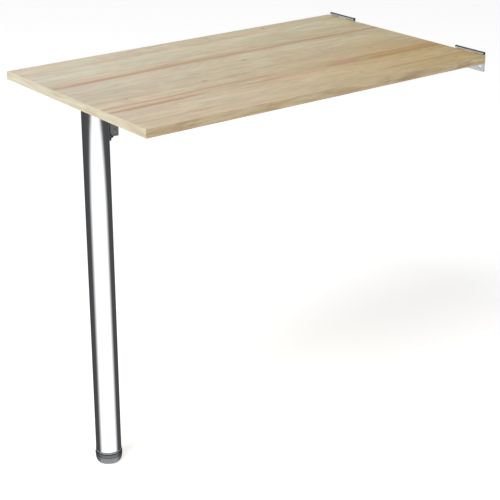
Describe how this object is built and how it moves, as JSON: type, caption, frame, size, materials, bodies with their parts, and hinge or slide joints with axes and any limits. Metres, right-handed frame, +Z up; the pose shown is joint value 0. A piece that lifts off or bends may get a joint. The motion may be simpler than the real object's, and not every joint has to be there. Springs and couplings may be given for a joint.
{
  "type": "wall-mounted drop leaf table",
  "caption": "Folding wall table: an oak-look leaf on strap hinges at the wall, held up at its free end by a folding chrome tube leg with a levelling foot.",
  "frame": {"origin": "on the wall surface, midway between the two hinge wall plates, at half their height", "axes": "+X from the wall towards the leaf's free end, +Y towards the leaf's near long side, +Z up"},
  "size_m": [0.805, 0.47, 0.749],
  "materials": {
    "oak_decor": "light oak decor laminate, satin, grain along X",
    "oak_band": "pale oak decor edge band, satin",
    "zinc_plate": "zinc-plated pressed steel",
    "zinc_wire": "bright zinc-plated steel",
    "dark_steel": "dark burnished steel",
    "bracket_steel": "silver-grey lacquered pressed steel",
    "black_arm": "black lacquered steel",
    "chrome": "bright chrome-plated tube",
    "black_plastic": "black moulded plastic, fine texture",
    "dark_plastic": "dark grey moulded plastic, semi-gloss",
    "grey_plastic": "grey moulded plastic, satin"
  },
  "bodies": {
    "wall_side": {"wall_plate_near": "zinc_plate", "wall_plate_far": "zinc_plate", "hinge_pin_near": "dark_steel", "hinge_pin_far": "dark_steel"},
    "leaf": {"tabletop_board": "oak_decor", "edge_band_near": "oak_decor", "edge_band_far": "oak_decor", "edge_band_free_end": "oak_band", "edge_band_wall_end": "oak_band", "hinge_strap_near": "zinc_plate", "hinge_strap_far": "zinc_plate", "strap_screw_near_1": "zinc_wire", "strap_screw_near_2": "zinc_wire", "strap_screw_near_3": "zinc_wire", "strap_screw_near_4": "zinc_wire", "strap_screw_far_1": "zinc_wire", "strap_screw_far_2": "zinc_wire", "strap_screw_far_3": "zinc_wire", "strap_screw_far_4": "zinc_wire", "leg_bracket": "bracket_steel", "leg_pivot_pin": "bracket_steel", "leg_pivot_clip": "dark_steel", "seat_plug": "dark_plastic", "bracket_screw_1": "zinc_wire", "bracket_screw_2": "zinc_wire", "bracket_screw_3": "zinc_wire", "bracket_screw_4": "zinc_wire", "bracket_screw_5": "zinc_wire", "hook_eye": "zinc_wire"},
    "leg": {"leg_tube": "chrome", "tube_collar": "black_plastic", "hinge_arm": "black_arm", "arm_rivet_1": "dark_steel", "arm_rivet_2": "dark_steel", "lever_pin": "dark_steel", "lever_spring": "zinc_wire", "foot_insert": "grey_plastic"},
    "lever": {"release_lever": "black_plastic"},
    "foot": {"foot_stud": "zinc_wire", "foot_disc": "dark_plastic", "foot_base": "grey_plastic"},
    "hook": {"safety_hook": "zinc_wire"}
  },
  "joints": [
    {"name": "leaf_fold", "type": "hinge", "parent": "wall_side", "child": "leaf", "pos_m": [0.0032, 0, 0.019], "axis": [0, -1, 0], "range_deg": [0, 90]},
    {"name": "leg_fold", "type": "hinge", "parent": "leaf", "child": "leg", "pos_m": [0.7245, 0, -0.0555], "axis": [0, 1, 0], "range_deg": [0, 90]},
    {"name": "lever_press", "type": "hinge", "parent": "leg", "child": "lever", "pos_m": [0.73, 0, -0.066], "axis": [0, -1, 0], "range_deg": [0, 8], "stiffness_Nm_per_rad": 0.5, "springref_deg": -11.46},
    {"name": "foot_level", "type": "slide", "parent": "leg", "child": "foot", "axis": [0, 0, -1], "range_m": [0, 0.015]},
    {"name": "hook_swing", "type": "hinge", "parent": "leaf", "child": "hook", "pos_m": [0.768, -0.034, -0.013], "axis": [0, -1, 0], "range_deg": [0, 180]}
  ]
}
